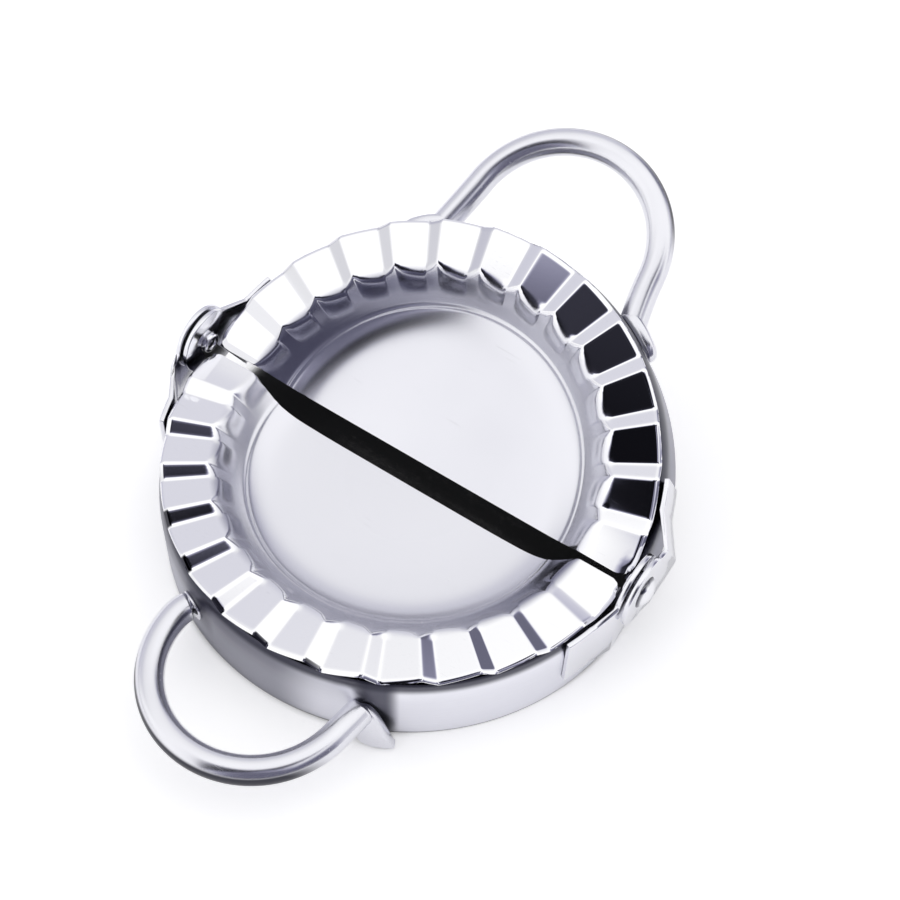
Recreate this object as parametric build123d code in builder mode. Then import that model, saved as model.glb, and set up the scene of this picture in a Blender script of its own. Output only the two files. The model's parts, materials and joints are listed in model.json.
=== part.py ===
"""Hinged empanada press: two half-round pleated moulds, each on its own cutting band with a
bent-rod handle, joined by two riveted hinges. The front half stands flat on its band and the
back half is folded up a little. Millimetres and degrees; x along the hinge, y to the back, z up.

Both halves are the same set of pressings, turned half a turn about the vertical. Each is drawn
in its half's own frame: origin on the hinge axis, x along it, y out over the half, z up.
"""

from build123d import *

import os
from math import asin, cos, degrees, radians, sin, sqrt, tan

# Pose and overall
fold_shown = 27.5  # how far the back half stands up from lying flat
seam_gap = 0.8  # left between the two pleated rims when the press is shut
cut_setback = 0.5  # each half's straight edge stands this far off the hinge axis
seat_gap = 0.05  # between pressings that rest on each other
half_turn = 180.0

# Pleated mould
sheet = 0.8
rim_radius = 47.5
rim_corner = 2.5  # rounding of the rim's corners beside the hinges
pleats = 14
pleat_rise = 1.4
divider_angle = 4.0
rim_width = 10.0  # from the outer edge to the wall, at the valleys
wall_run = 5.9
wall_drop = 5.8
shoulder_run = 3.0
shoulder_drop = 1.6
floor_drop = 0.4
shoulder_bend = 1.6
floor_bend = 5.0

# Cutting band
band_overhang = 0.7  # the band stands this far outside the rim
band_depth = 16.7
band_inset = 0.8  # its top edge turns in under the rim by this much

# Handle
rod_radius = 2.75
handle_half_width = 19.8
front_handle_reach = 68.4  # hinge axis to the rod's centre line at the far end
back_handle_reach = 72.2
foot_thickness = 2.0
foot_height = 6.4
foot_length = 13.0
foot_offset = 4.2  # the foot's middle lies this far outside the rod
foot_corner = 2.2

# Hinges
leaf_thickness = 1.0
leaf_standoff = 0.6  # the inner leaf's eye clears the band by this much
inner_eye_radius = 6.8
outer_eye_radius = 7.0
heel_in = 1.0  # the leaf's lowest corner lies this far past the eye's middle
heel_drop = 10.5
inner_bend = 7.0  # where each leaf bends in towards its band
outer_bend = 8.6
inner_pad_start_angle = 14.0
inner_pad_end_angle = 20.5
outer_pad_start_angle = 17.5
outer_pad_end_angle = 24.5
leaf_depth = 10.4
neck_out = 5.6
neck_up = 2.6
neck_foot = 11.0
washer_thickness = 0.5
washer_radius = 3.4
rivet_radius = 1.8
rivet_clearance = 0.05
rivet_bore = 1.1
rivet_bore_depth = 2.0
rolled_radius = 2.1
rolled_length = 1.1
rivet_head_radius = 3.2
rivet_head_height = 1.5

# Heights in a half's own frame, from the hinge axis
rim_middle = -seam_gap / 2
valley = rim_middle - pleat_rise / 2
crest = rim_middle + pleat_rise / 2
band_top = valley - sheet - seat_gap
band_knee = band_top - band_inset
band_bottom = band_top - band_depth
handle_level = (rim_middle + band_bottom) / 2
leaf_top = band_knee - seat_gap
leaf_bottom = leaf_top - leaf_depth

# Radii and distances that follow
pitch = half_turn / pleats
band_outer = rim_radius + band_overhang
band_inner = band_outer - sheet
pad_inner = band_outer + seat_gap
pad_outer = pad_inner + leaf_thickness
inner_eye = band_outer + leaf_standoff
outer_eye = inner_eye + leaf_thickness + washer_thickness + 2 * seat_gap
rivet_hole = rivet_radius + rivet_clearance

# Placing: the bounding box stands centred on the origin, with the front band on z = 0
fold = radians(fold_shown)
front_reach = front_handle_reach + rod_radius
back_reach = back_handle_reach * cos(fold) - handle_level * sin(fold) + rod_radius
hinge_place = (0, (front_reach - back_reach) / 2, -band_bottom)
front_frame = Plane(origin=hinge_place, x_dir=(-1, 0, 0), z_dir=(0, 0, 1))
back_frame = Plane(origin=hinge_place, x_dir=(1, 0, 0), z_dir=(0, -sin(fold), cos(fold)))


def section_of(frame):
    """The upright plane along the hinge: x along the hinge, y up."""
    return Plane(origin=frame.origin, x_dir=frame.x_dir, z_dir=-frame.y_dir)


def side_of(frame):
    """The upright plane across the hinge: x out over the half, y up."""
    return Plane(origin=frame.origin, x_dir=frame.y_dir, z_dir=frame.x_dir)


def facing(frame, angle, distance):
    """The upright plane square to the radius at an angle, at a distance from the middle."""
    outward = frame.x_dir * cos(radians(angle)) + frame.y_dir * sin(radians(angle))
    origin = frame.origin + outward * distance
    return Plane(origin=origin, x_dir=frame.z_dir.cross(outward), z_dir=outward)


def half_disc(frame, radius, corner):
    """The half disc behind the straight edge, drawn below everything else."""
    reach = sqrt(radius**2 - cut_setback**2)
    with BuildSketch(frame.offset(band_bottom - sheet)) as disc:
        with BuildLine():
            ThreePointArc((reach, cut_setback), (0, radius), (-reach, cut_setback))
            Line((-reach, cut_setback), (reach, cut_setback))
        make_face()
        if corner:
            fillet(disc.vertices(), corner)
    return disc.sketch


def pleat_span(number):
    """The angles where a pleat starts to rise, where it ends and where the next one starts."""
    start = number * pitch + (divider_angle / 2 if number else 0)
    last = number == pleats - 1
    top = half_turn if last else (number + 1) * pitch - divider_angle / 2
    return start, top, half_turn if last else top + divider_angle


def beyond_pleat(frame, number, radius, drop, beyond):
    """The region past one pleat's ramp and step at a radius, lowered by drop, up to beyond."""
    start, top, finish = pleat_span(number)
    middle = (start + finish) / 2
    left, peak, right = [radius * tan(radians(angle - middle)) for angle in (start, top, finish)]
    with BuildSketch(facing(frame, middle, radius)) as region:
        with BuildLine():
            ramp = [(left, valley - drop), (peak, crest - drop)]
            step = [(right, valley - drop)] if finish > top else []
            Polyline(*ramp, *step, (right, beyond), (left, beyond), close=True)
        make_face()
    return region.sketch.face()


def dish_section(frame):
    """The floor, shoulder and wall of one sheet, and the rim as a solid block."""
    above = crest + sheet
    under = valley - sheet
    wall_foot = (rim_radius - rim_width - wall_run, valley - wall_drop)
    shoulder_foot = (wall_foot[0] - shoulder_run, wall_foot[1] - shoulder_drop)
    floor_edge = (shoulder_foot[0] - shoulder_run, shoulder_foot[1] - floor_drop)
    slope = wall_run / wall_drop
    lip = (rim_radius - rim_width + (above - valley) * slope, above)
    block_foot = (rim_radius - rim_width - (valley - under) * slope, under)
    with BuildSketch(section_of(frame)) as section:
        with BuildLine():
            points = [(0, floor_edge[1]), floor_edge, shoulder_foot, wall_foot, lip]
            FilletPolyline(*points, radius=[floor_bend, floor_bend, shoulder_bend])
            offset(amount=sheet, side=Side.RIGHT)
        make_face()
        with BuildLine():
            Polyline(block_foot, lip, (rim_radius, above), (rim_radius, under), close=True)
        make_face()
    return section.sketch


def make_mould(frame):
    """The pressed half dish with its pleated rim."""
    wall = rim_radius - rim_width
    past = rim_radius + sheet
    over = crest + 2 * sheet
    with BuildPart() as mould:
        revolve(dish_section(frame), axis=Axis(frame.origin, frame.z_dir), revolution_arc=half_turn)
        extrude(half_disc(frame, rim_radius, rim_corner), amount=rim_radius, mode=Mode.INTERSECT)
        for number in range(pleats):
            upper = [beyond_pleat(frame, number, at, 0, over) for at in (wall - sheet, past)]
            loft(upper, ruled=True, mode=Mode.SUBTRACT)
            under = (wall + 2 * sheet, past)
            lower = [beyond_pleat(frame, number, at, sheet, band_knee) for at in under]
            loft(lower, ruled=True, mode=Mode.SUBTRACT)
    return mould


def band_section(frame):
    """The band's wall, with its top edge turned in under the rim."""
    with BuildSketch(section_of(frame)) as section:
        with BuildLine():
            outside = [(band_outer, band_bottom), (band_outer, band_knee)]
            edge = [(band_outer - band_inset, band_top), (band_inner - band_inset, band_top)]
            inside = [(band_inner, band_knee), (band_inner, band_bottom)]
            Polyline(*outside, *edge, *inside, close=True)
        make_face()
    return section.sketch


def make_band(frame):
    """The upright half-round band that stands on the table and cuts the dough."""
    with BuildPart() as band:
        revolve(band_section(frame), axis=Axis(frame.origin, frame.z_dir), revolution_arc=half_turn)
        extrude(half_disc(frame, band_outer, 0), amount=rim_radius, mode=Mode.INTERSECT)
    return band


def handle_line(frame, reach):
    """The rod's centre line, from inside one foot round the loop to inside the other."""
    bend_centre = reach - handle_half_width
    foot = sqrt(band_inner**2 - handle_half_width**2) - rod_radius
    with BuildLine(frame.offset(handle_level)) as path:
        Line((handle_half_width, foot), (handle_half_width, bend_centre))
        CenterArc((0, bend_centre), handle_half_width, 0, half_turn)
        Line((-handle_half_width, bend_centre), (-handle_half_width, foot))
    return path.line


def foot_outline(frame, side):
    """One flattened foot seen square on, drawn at the middle of the half."""
    turn = asin((handle_half_width + foot_offset) / pad_inner)
    square_on = facing(frame, half_turn / 2 - side * degrees(turn), 0)
    with BuildSketch(square_on) as outline:
        with Locations((0, handle_level)):
            RectangleRounded(foot_length, foot_height, foot_corner)
    return outline.sketch


def make_handle(frame, reach):
    """A round rod bent to a loop, with a flattened foot along the band at each end."""
    foot_outside = pad_inner + foot_thickness
    line = handle_line(frame, reach)
    with BuildSketch(frame.offset(handle_level - foot_height)) as foot_reach:
        Circle(foot_outside)
    with BuildSketch(frame.offset(handle_level - foot_height)) as band_space:
        Circle(pad_inner)
    with BuildSketch(Plane(origin=line @ 0, z_dir=line % 0)) as rod:
        Circle(rod_radius)
    with BuildPart() as handle:
        extrude(foot_outline(frame, 1), amount=2 * foot_outside)
        extrude(foot_outline(frame, -1), amount=2 * foot_outside)
        extrude(foot_reach.sketch, amount=2 * foot_height, mode=Mode.INTERSECT)
        sweep(rod.sketch, path=line)
        extrude(band_space.sketch, amount=2 * foot_height, mode=Mode.SUBTRACT)
    return handle


def on_circle(radius, angle, side):
    """A point of a circle about the middle, on one side of the half."""
    return (side * radius * cos(radians(angle)), radius * sin(radians(angle)))


def leaf_plan(frame, side, eye, eye_radius, bend, pad):
    """A leaf from above: flat at the eye, bent in, then round the band."""
    pad_start, pad_end = pad
    pad_middle = (pad_start + pad_end) / 2
    outer = [on_circle(pad_outer, angle, side) for angle in (pad_start, pad_middle, pad_end)]
    inner = [on_circle(pad_inner, angle, side) for angle in (pad_end, pad_middle, pad_start)]
    outer_face = side * (eye + leaf_thickness)
    inner_face = side * eye
    with BuildSketch(frame.offset(leaf_bottom)) as plan:
        with BuildLine():
            Polyline((outer_face, -eye_radius), (outer_face, bend), outer[0])
            ThreePointArc(*outer)
            Line(outer[-1], inner[0])
            ThreePointArc(*inner)
            Polyline(inner[-1], (inner_face, bend), (inner_face, -eye_radius))
            Line((inner_face, -eye_radius), (outer_face, -eye_radius))
        make_face()
    return plan.sketch


def leaf_outline(frame, eye_radius):
    """A leaf from the side: a round eye, and a pad that hangs beside the band."""
    far = pad_outer / 2
    with BuildSketch(side_of(frame)) as outline:
        Circle(eye_radius)
        with BuildLine():
            heel = [(-eye_radius, 0), (-heel_in, -heel_drop)]
            lower = [*heel, (eye_radius, leaf_bottom), (far, leaf_bottom)]
            upper = [(far, leaf_top), (neck_foot, leaf_top), (neck_out, neck_up), (0, neck_up)]
            Polyline(*lower, *upper, close=True)
        make_face()
        Circle(rivet_hole, mode=Mode.SUBTRACT)
    return outline.sketch


def make_leaf(frame, side, eye, eye_radius, bend, pad):
    """A hinge leaf, fixed to the outside of its band, with an eye for the rivet."""
    plan = leaf_plan(frame, side, eye, eye_radius, bend, pad)
    outward = side * (outer_eye + 2 * leaf_thickness)
    with BuildPart() as leaf:
        extrude(plan, amount=eye_radius - leaf_bottom)
        extrude(leaf_outline(frame, eye_radius), amount=outward, mode=Mode.INTERSECT)
    return leaf


def make_outer_leaf(frame):
    """The leaf whose eye lies outside the other half's."""
    pad = (outer_pad_start_angle, outer_pad_end_angle)
    return make_leaf(frame, 1, outer_eye, outer_eye_radius, outer_bend, pad)


def make_inner_leaf(frame):
    """The leaf whose eye lies inside the other half's."""
    pad = (inner_pad_start_angle, inner_pad_end_angle)
    return make_leaf(frame, -1, inner_eye, inner_eye_radius, inner_bend, pad)


def make_rivet(frame, side):
    """A tubular rivet along the hinge axis: domed head outside, rolled end inside."""
    under_head = outer_eye + leaf_thickness + seat_gap
    head_top = under_head + rivet_head_height
    roll = inner_eye - seat_gap
    tip = roll - rolled_length
    bore_end = tip + rivet_bore_depth
    dome_radius = (rivet_head_radius**2 + rivet_head_height**2) / (2 * rivet_head_height)
    half_way = asin(rivet_head_radius / dome_radius) / 2
    crown = (head_top - dome_radius * (1 - cos(half_way)), dome_radius * sin(half_way))
    with BuildPart() as rivet:
        with BuildSketch(frame):
            with BuildLine():
                bore = [(bore_end, 0), (bore_end, rivet_bore), (tip, rivet_bore)]
                rolled = [(tip, rolled_radius), (roll, rolled_radius)]
                shank = [(roll, rivet_radius), (under_head, rivet_radius)]
                outline = [*bore, *rolled, *shank, (under_head, rivet_head_radius)]
                Polyline(*[(side * x, y) for x, y in outline])
                rim = (side * under_head, rivet_head_radius)
                ThreePointArc(rim, (side * crown[0], crown[1]), (side * head_top, 0))
                Line((side * head_top, 0), (side * bore_end, 0))
            make_face()
        revolve(axis=Axis(frame.origin, frame.x_dir))
    return rivet


def make_washer(frame, side):
    """A flat washer on the rivet, between the two leaves' eyes."""
    near = inner_eye + leaf_thickness + seat_gap
    with BuildPart() as washer:
        with BuildSketch(side_of(frame).offset(side * near)):
            Circle(washer_radius)
            Circle(rivet_hole, mode=Mode.SUBTRACT)
        extrude(amount=side * washer_thickness)
    return washer


def save(name, piece):
    """Labels a finished piece and writes it."""
    piece.part.label = name
    export_step(piece.part, f"parts/{name}.step")


os.makedirs("parts", exist_ok=True)

front_mould = make_mould(front_frame)
back_mould = make_mould(back_frame)
front_band = make_band(front_frame)
back_band = make_band(back_frame)
front_handle = make_handle(front_frame, front_handle_reach)
back_handle = make_handle(back_frame, back_handle_reach)
front_left_leaf = make_outer_leaf(front_frame)
front_right_leaf = make_inner_leaf(front_frame)
back_left_leaf = make_inner_leaf(back_frame)
back_right_leaf = make_outer_leaf(back_frame)
left_rivet = make_rivet(front_frame, 1)
right_rivet = make_rivet(front_frame, -1)
left_washer = make_washer(front_frame, 1)
right_washer = make_washer(front_frame, -1)

save("front_mould", front_mould)
save("back_mould", back_mould)
save("front_band", front_band)
save("back_band", back_band)
save("front_handle", front_handle)
save("back_handle", back_handle)
save("front_left_leaf", front_left_leaf)
save("front_right_leaf", front_right_leaf)
save("back_left_leaf", back_left_leaf)
save("back_right_leaf", back_right_leaf)
save("left_rivet", left_rivet)
save("right_rivet", right_rivet)
save("left_washer", left_washer)
save("right_washer", right_washer)
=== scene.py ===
"""The looks of a stainless-steel empanada press: pressed moulds, cutting bands, rod handles and
riveted hinges in polished and satin steel, on a pale floor in a white studio.

Each half is drawn in its own frame in millimetres, with the hinge axis along x, y out over the
half and z up, and then laid where the frame has it. Angles are degrees round the half, from the
end on its +x side (0) to the other (180).
"""
import json
from math import asin, cos, pi, radians, sin

import bmesh
import bpy
from mathutils import Matrix, Vector


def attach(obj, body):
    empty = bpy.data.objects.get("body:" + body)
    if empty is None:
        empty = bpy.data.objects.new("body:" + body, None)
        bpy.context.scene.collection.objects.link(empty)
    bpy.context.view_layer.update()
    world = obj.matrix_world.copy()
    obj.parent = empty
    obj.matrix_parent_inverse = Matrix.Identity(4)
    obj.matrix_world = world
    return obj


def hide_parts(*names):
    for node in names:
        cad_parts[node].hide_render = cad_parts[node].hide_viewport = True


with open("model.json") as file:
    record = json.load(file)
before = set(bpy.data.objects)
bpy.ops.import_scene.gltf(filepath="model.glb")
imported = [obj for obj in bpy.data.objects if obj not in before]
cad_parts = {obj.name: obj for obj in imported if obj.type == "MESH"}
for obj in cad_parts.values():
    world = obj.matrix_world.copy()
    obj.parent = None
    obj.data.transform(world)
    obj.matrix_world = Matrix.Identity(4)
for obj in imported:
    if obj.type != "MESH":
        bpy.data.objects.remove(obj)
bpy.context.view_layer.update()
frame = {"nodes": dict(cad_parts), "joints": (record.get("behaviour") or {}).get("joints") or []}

MM = 0.001
HALF_TURN = 180

# ---------------------------------------------------------------- the press, in millimetres
# The pleated rim
rim_radius = 47.5
rim_width = 10.0  # from the outer edge to the bowl's wall
rim_roll = 0.95  # width of the border that turns down at the rim's edge
rim_corner_across, rim_corner_along = 2.5, 4.0  # rounding of the rim's corners by the hinges
cut_setback = 0.5  # each half's straight edge stands this far off the hinge axis
setback_fade = 6.0  # and the pressing is drawn back to it over this width
sheet = 0.8
sheet_edge, sheet_edge_angle = 0.22, 62  # rounding of the sheet's edges, where it turns this far
pleats = 14
divider = 3.7  # width of a pleat's steep side (degrees)
pleat_rise = 1.6
valley = -1.1
end_rise = 0.45  # a pleat's share of its rise beside the hinge
near_fade, far_fade = 22.0, 50.0  # and how far from each end (degrees) it is less than whole
crease_round = 0.24
crease_round_inside = 1.0  # where the pleats run into the bowl
crease_change = (-0.2, 1.5)  # one rounding turns into the other this far outside the wall

# Where the rim rounds into the bowl
nose_least = 0.45  # how softly it does: at a crest, in a valley and between them
nose_valley = 0.8
nose_most = 2.9
nose_early = 0.66  # under 1, a lip is fullest before its middle
scallop = 0.75  # how much of that rounding bulges into the bowl
scallop_start, scallop_whole = 34.0, 37.4  # radii between which the bulge grows

# The bowl
bead_radius, bead_height, bead_width = 31.75, 0.22, 0.42  # the ring pressed round the floor
wall_run, wall_drop = 5.9, 5.8
shoulder_run, shoulder_drop = 3.0, 1.6
floor_drop = 0.4
wall_foot_round = 0.5
shoulder_round = 1.9

# The cutting band
band_outer = 48.2
band_top = -2.3
band_knee = -7.0  # from here up it leans in
band_bottom = -18.65
band_tuck = 0.95  # by this much
band_edge = 0.28  # rounding of its edges

# The handle
rod_radius = 2.75
loop_radius = {"front": 19.3, "back": 20.3}
handle_reach = {"front": 68.4, "back": 72.2}
handle_level = -9.525
rod_dome = 1.2  # length of the rod's rounded end
rod_least = 0.3  # a rod's share of its radius at its very end
foot_thickness = 2.0
seat_gap = 0.05  # between pressings that rest on each other
tongue_edge = 0.8
tongue_back_edge = 0.25
lean_from = 2.0  # a leaning tongue leans below this level

# The flattened end of a rod, as (run along the band, lowest, highest, thickness) at each station
# from where the rod meets the band.
plain_tongue = [
    (-3.4, -0.4, 0.4, 0.6), (-3.1, -1.6, 1.6, 1.6), (-1.8, -2.7, 2.7, 2.5), (1.2, -2.9, 2.9, 2.7),
    (3.8, -2.7, 2.7, 2.5), (5.8, -2.2, 2.2, 2.2), (7.2, -1.3, 1.3, 1.5), (7.7, -0.3, 0.3, 0.6),
]
short_tongue = [
    (-2.9, -0.4, 0.4, 0.3), (-2.4, -1.8, 1.8, 0.5), (0.0, -2.7, 2.7, 0.6), (2.4, -1.8, 1.8, 0.5),
    (2.9, -0.4, 0.4, 0.3),
]
drooping_tongue = [
    (-2.8, -1.0, 0.4, 0.8), (-2.2, -3.0, 1.2, 1.6), (-0.6, -6.6, 1.9, 2.0), (0.9, -7.9, 1.8, 2.0),
    (2.2, -8.3, 0.4, 2.0), (3.4, -8.4, -1.9, 2.0), (4.6, -8.4, -4.9, 2.0), (5.6, -8.4, -7.4, 1.7),
    (5.9, -8.3, -7.9, 1.2),
]
# Each end of each rod: where it meets the band and where it leaves the loop (degrees), how far
# along that line it is bent (mm), its tongue, and how much that leans out towards its foot.
rod_ends = {
    "front": (
        {"angle": 68.2, "leave": 2.0, "corner": 3.7, "tongue": short_tongue, "lean": 0.0},
        {"angle": 114.6, "leave": 8.0, "corner": 4.0, "tongue": drooping_tongue, "lean": 0.2},
    ),
    "back": (
        {"angle": 62.8, "leave": 5.0, "corner": 5.0, "tongue": plain_tongue, "lean": 0.0},
        {"angle": 118.0, "leave": 10.0, "corner": 5.0, "tongue": plain_tongue, "lean": 0.0},
    ),
}

# The hinge: its plates, rivets and washers (distances along its axis from the middle)
outer_eye = 50.4
leaf_thickness = 1.0
plate_edge = 0.2
pad_top, pad_start = -2.9, 9.0  # the part of a plate that stands up beside the rim's edge
pad_lift = {"front_left": 2.3, "front_right": 2.3, "back_left": 0.5, "back_right": 2.3}
rivet_radius = 1.8
rivet_head_radius = 3.2
rivet_head_height = 1.5
rivet_head_edge = 0.1
rolled_radius = 2.1  # the rivet's end, rolled over
rivet_bore, rivet_bore_depth = 1.1, 2.0
rivet_tip = 47.65
rivet_collar, collar_edge = 48.75, 0.15
washer_near, washer_far = 49.85, 50.35
washer_radius, washer_hole, washer_edge = 3.4, 1.85, 0.12

# The meshes
join_within, join_within_fine = 0.002, 0.0005  # points this close together become one
plate_join_within = 0.000002  # the same for the frame's plates (metres)
flat_within = 1.5  # faces that turn less than this (degrees) become one
sharp_angle, rod_sharp_angle, plate_sharp_angle = 38, 60, 32  # edges that turn more stay sharp
round_sides = 40

joint = frame["joints"][0]
hinge = Vector(joint["pos_m"])
fold = -joint["range_deg"][0]

front_place = Matrix.Translation(hinge) @ Matrix.Rotation(pi, 4, "Z") @ Matrix.Scale(MM, 4)
back_place = (
    Matrix.Translation(hinge) @ Matrix.Rotation(radians(fold), 4, "X") @ Matrix.Scale(MM, 4)
)
halves = {"front": front_place, "back": back_place}


# ---------------------------------------------------------------- node trees
class Socket:
    """A socket of a node tree; an expression on it adds the nodes that work it out."""

    def __init__(self, tree, socket):
        self.tree = tree
        self.socket = socket

    def out(self, name):
        """Another output of the same node."""
        return Socket(self.tree, self.socket.node.outputs[name])

    def _maths(self, operation, *terms):
        return self.tree.add("ShaderNodeMath", {"operation": operation}, *terms)

    def __add__(self, other):
        return self._maths("ADD", self, other)

    __radd__ = __add__

    def __sub__(self, other):
        return self._maths("SUBTRACT", self, other)

    def __rsub__(self, other):
        return self._maths("SUBTRACT", other, self)

    def __mul__(self, other):
        return self._maths("MULTIPLY", self, other)

    __rmul__ = __mul__

    def __truediv__(self, other):
        return self._maths("DIVIDE", self, other)

    def __pow__(self, other):
        return self._maths("POWER", self, other)

    def __neg__(self):
        return self._maths("MULTIPLY", self, -1.0)

    def larger(self, other, soft=0.0):
        """The larger of two, rounded where they cross if soft says how much."""
        if soft:
            return self._maths("SMOOTH_MAX", self, other, soft)
        return self._maths("MAXIMUM", self, other)

    def smaller(self, other, soft=0.0):
        """The smaller of two, rounded where they cross if soft says how much."""
        if soft:
            return self._maths("SMOOTH_MIN", self, other, soft)
        return self._maths("MINIMUM", self, other)

    def step(self, start, end):
        """0 at start, 1 at end, and smooth between."""
        settings = {"interpolation_type": "SMOOTHSTEP"}
        return self.tree.add("ShaderNodeMapRange", settings, self, start, end, 0.0, 1.0)


class Tree:
    """A shader, world or geometry tree, filled through one method."""

    def __init__(self, node_tree):
        self.nodes = node_tree.nodes
        self.links = node_tree.links

    def add(self, kind, settings=None, *values, output=0, **named):
        """Adds a node, sets its settings, then feeds its inputs with values or sockets."""
        node = self.nodes.new(kind)
        for name, value in (settings or {}).items():
            setattr(node, name, value)
        for key, value in [*enumerate(values), *named.items()]:
            place = node.inputs[key.replace("_", " ") if isinstance(key, str) else key]
            if isinstance(value, Socket):
                self.links.new(value.socket, place)
            elif value is not None:
                place.default_value = value
        return Socket(self, node.outputs[output]) if len(node.outputs) else node

    def mixed(self, share, first, second):
        """A colour between two, by a share."""
        settings = {"data_type": "RGBA"}
        unused = (None,) * 5
        return self.add("ShaderNodeMix", settings, share, *unused, first, second, output=2)


# ---------------------------------------------------------------- geometry trees
def geometry_tree(name, sizes):
    """A geometry tree with a named input for each size."""
    tree = bpy.data.node_groups.new(name, "GeometryNodeTree")
    tree.interface.new_socket("Geometry", in_out="INPUT", socket_type="NodeSocketGeometry")
    tree.interface.new_socket("Geometry", in_out="OUTPUT", socket_type="NodeSocketGeometry")
    tree.interface.new_socket("Material", in_out="INPUT", socket_type="NodeSocketMaterial")
    for size in sizes:
        tree.interface.new_socket(size, in_out="INPUT", socket_type="NodeSocketFloat")
    return tree


def drawn(made, entry):
    """The incoming shape, with its points' places kept as an attribute for the materials."""
    return made.add(
        "GeometryNodeStoreNamedAttribute", {"data_type": "FLOAT_VECTOR", "domain": "POINT"},
        entry.out("Geometry"), Name="drawn", Value=made.add("GeometryNodeInputPosition"),
    )


def close_tree(made, shape, entry):
    """Ends a geometry tree with its instances made real and its material set."""
    real = made.add("GeometryNodeRealizeInstances", None, shape)
    smooth = made.add("GeometryNodeSetShadeSmooth", None, real)
    dressed = made.add("GeometryNodeSetMaterial", None, smooth, Material=entry.out("Material"))
    made.add("NodeGroupOutput", None, dressed)


def shaped(name, base, tree, sizes, material, finish=()):
    """The plain mesh that a geometry tree and the finishing modifiers make from a base mesh."""
    raw = bpy.data.objects.new(name + "_raw", base)
    bpy.context.scene.collection.objects.link(raw)
    modifier = raw.modifiers.new("shape", "NODES")
    modifier.node_group = tree
    for item in tree.interface.items_tree:
        if item.in_out == "INPUT" and item.name in sizes:
            modifier[item.identifier] = float(sizes[item.name])
        elif item.in_out == "INPUT" and item.name == "Material":
            modifier[item.identifier] = material
    for kind, settings in finish:
        extra = raw.modifiers.new(kind, kind)
        for key, value in settings.items():
            setattr(extra, key, value)
    bpy.context.view_layer.update()
    graph = bpy.context.evaluated_depsgraph_get()
    mesh = bpy.data.meshes.new_from_object(raw.evaluated_get(graph), depsgraph=graph)
    bpy.data.objects.remove(raw)
    mesh.name = name
    return mesh


def net(columns, rows, marks=None):
    """A net of faces whose points are (column, row, 0), with named marks for each column."""
    points = [(column, row, 0.0) for column in columns for row in rows]
    wide = len(rows)
    faces = []
    for i in range(len(columns) - 1):
        for j in range(wide - 1):
            corner = i * wide + j
            faces.append((corner, corner + 1, corner + wide + 1, corner + wide))
    mesh = bpy.data.meshes.new("net")
    mesh.from_pydata(points, [], faces)
    for name, values in (marks or {}).items():
        mark = mesh.attributes.new(name, "FLOAT", "POINT")
        mark.data.foreach_set("value", [value for value in values for _ in rows])
    return mesh


def line_of(points, marks=None):
    """A mesh line through points, with named marks for each."""
    mesh = bpy.data.meshes.new("line")
    mesh.from_pydata(points, [(i, i + 1) for i in range(len(points) - 1)], [])
    for name, values in (marks or {}).items():
        mark = mesh.attributes.new(name, "FLOAT", "POINT")
        mark.data.foreach_set("value", values)
    return mesh


def placed(name, mesh, half, body, *nodes):
    """A finished piece, laid in the frame, that stands for its CAD nodes and rides on a body."""
    mesh.transform(halves[half])
    piece = bpy.data.objects.new(name, mesh)
    bpy.context.scene.collection.objects.link(piece)
    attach(piece, body)
    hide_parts(*nodes)
    return piece


def steps(start, end, count):
    """Evenly spaced values from start to end, both included."""
    return [start + (end - start) * i / count for i in range(count + 1)]


# ---------------------------------------------------------------- pleated mould
def soft_min(a, b, soft):
    """The smaller of two values, rounded where they cross."""
    near = max(soft - abs(a - b), 0.0) / soft
    return min(a, b) - near**3 * soft / 6


def creases():
    """The angles at which each pleat starts to rise and at which it ends."""
    pitch = HALF_TURN / pleats
    spans = []
    for number in range(pleats):
        start = number * pitch + (divider / 2 if number else 0)
        top = (number + 1) * pitch - (divider / 2 if number < pleats - 1 else 0)
        spans.append((start, top))
    return spans


def rise_at(angle, soft):
    """How far the rim has risen at an angle, from 0 in a valley to 1 on a crest."""
    spans = creases()
    number = min(int(angle * pleats / HALF_TURN), pleats - 1)
    around = range(max(number - 1, 0), min(number + 2, pleats))
    rises = []
    high_above = 9  # stands in for the fall that the last pleat doesn't have
    for each in around:
        start, top = spans[each]
        ramp = (angle - start) / (top - start)
        down = 1 - (angle - top) / divider if each < pleats - 1 else high_above
        rises.append(soft_min(ramp, down, soft))
    best = rises[0]
    for value in rises[1:]:
        best = -soft_min(-best, -value, soft)
    inward = min(max(min(angle / near_fade, (HALF_TURN - angle) / far_fade), 0.0), 1.0)
    return best * (end_rise + (1 - end_rise) * inward * inward * (3 - 2 * inward))


def nose_at(angle):
    """How softly the rim rounds into the bowl at an angle: least at a crest, most along a pleat."""
    number = min(int((angle + divider / 2) * pleats / HALF_TURN), pleats - 1)
    start, top = creases()[number]
    share = (angle - start) / (top - start)
    if share < 0:
        return nose_valley + (nose_least - nose_valley) * (start - angle) / divider
    if share > 1:
        return nose_least
    swell = (nose_most - nose_least) * sin(pi * share**nose_early)
    return nose_least + swell + (nose_valley - nose_least) * (1 - share) ** 4


def mould_columns():
    """Angles of the net's columns, closer together at each crease."""
    beside_crease = (0.0, 0.3, 0.62, 1.05)
    least_gap = 0.12
    angles = set()
    for start, top in creases():
        angles.update(steps(start, top, 6))
        for edge in (start, top):
            angles.update(edge + side * gap for side in (-1, 1) for gap in beside_crease)
            angles.add(edge - divider / 2)
            angles.add(edge + divider / 2)
    kept = []
    for angle in sorted(a for a in angles if 0 <= a <= HALF_TURN):
        if not kept or angle - kept[-1] > least_gap:
            kept.append(angle)
    kept[-1] = HALF_TURN
    return kept


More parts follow.
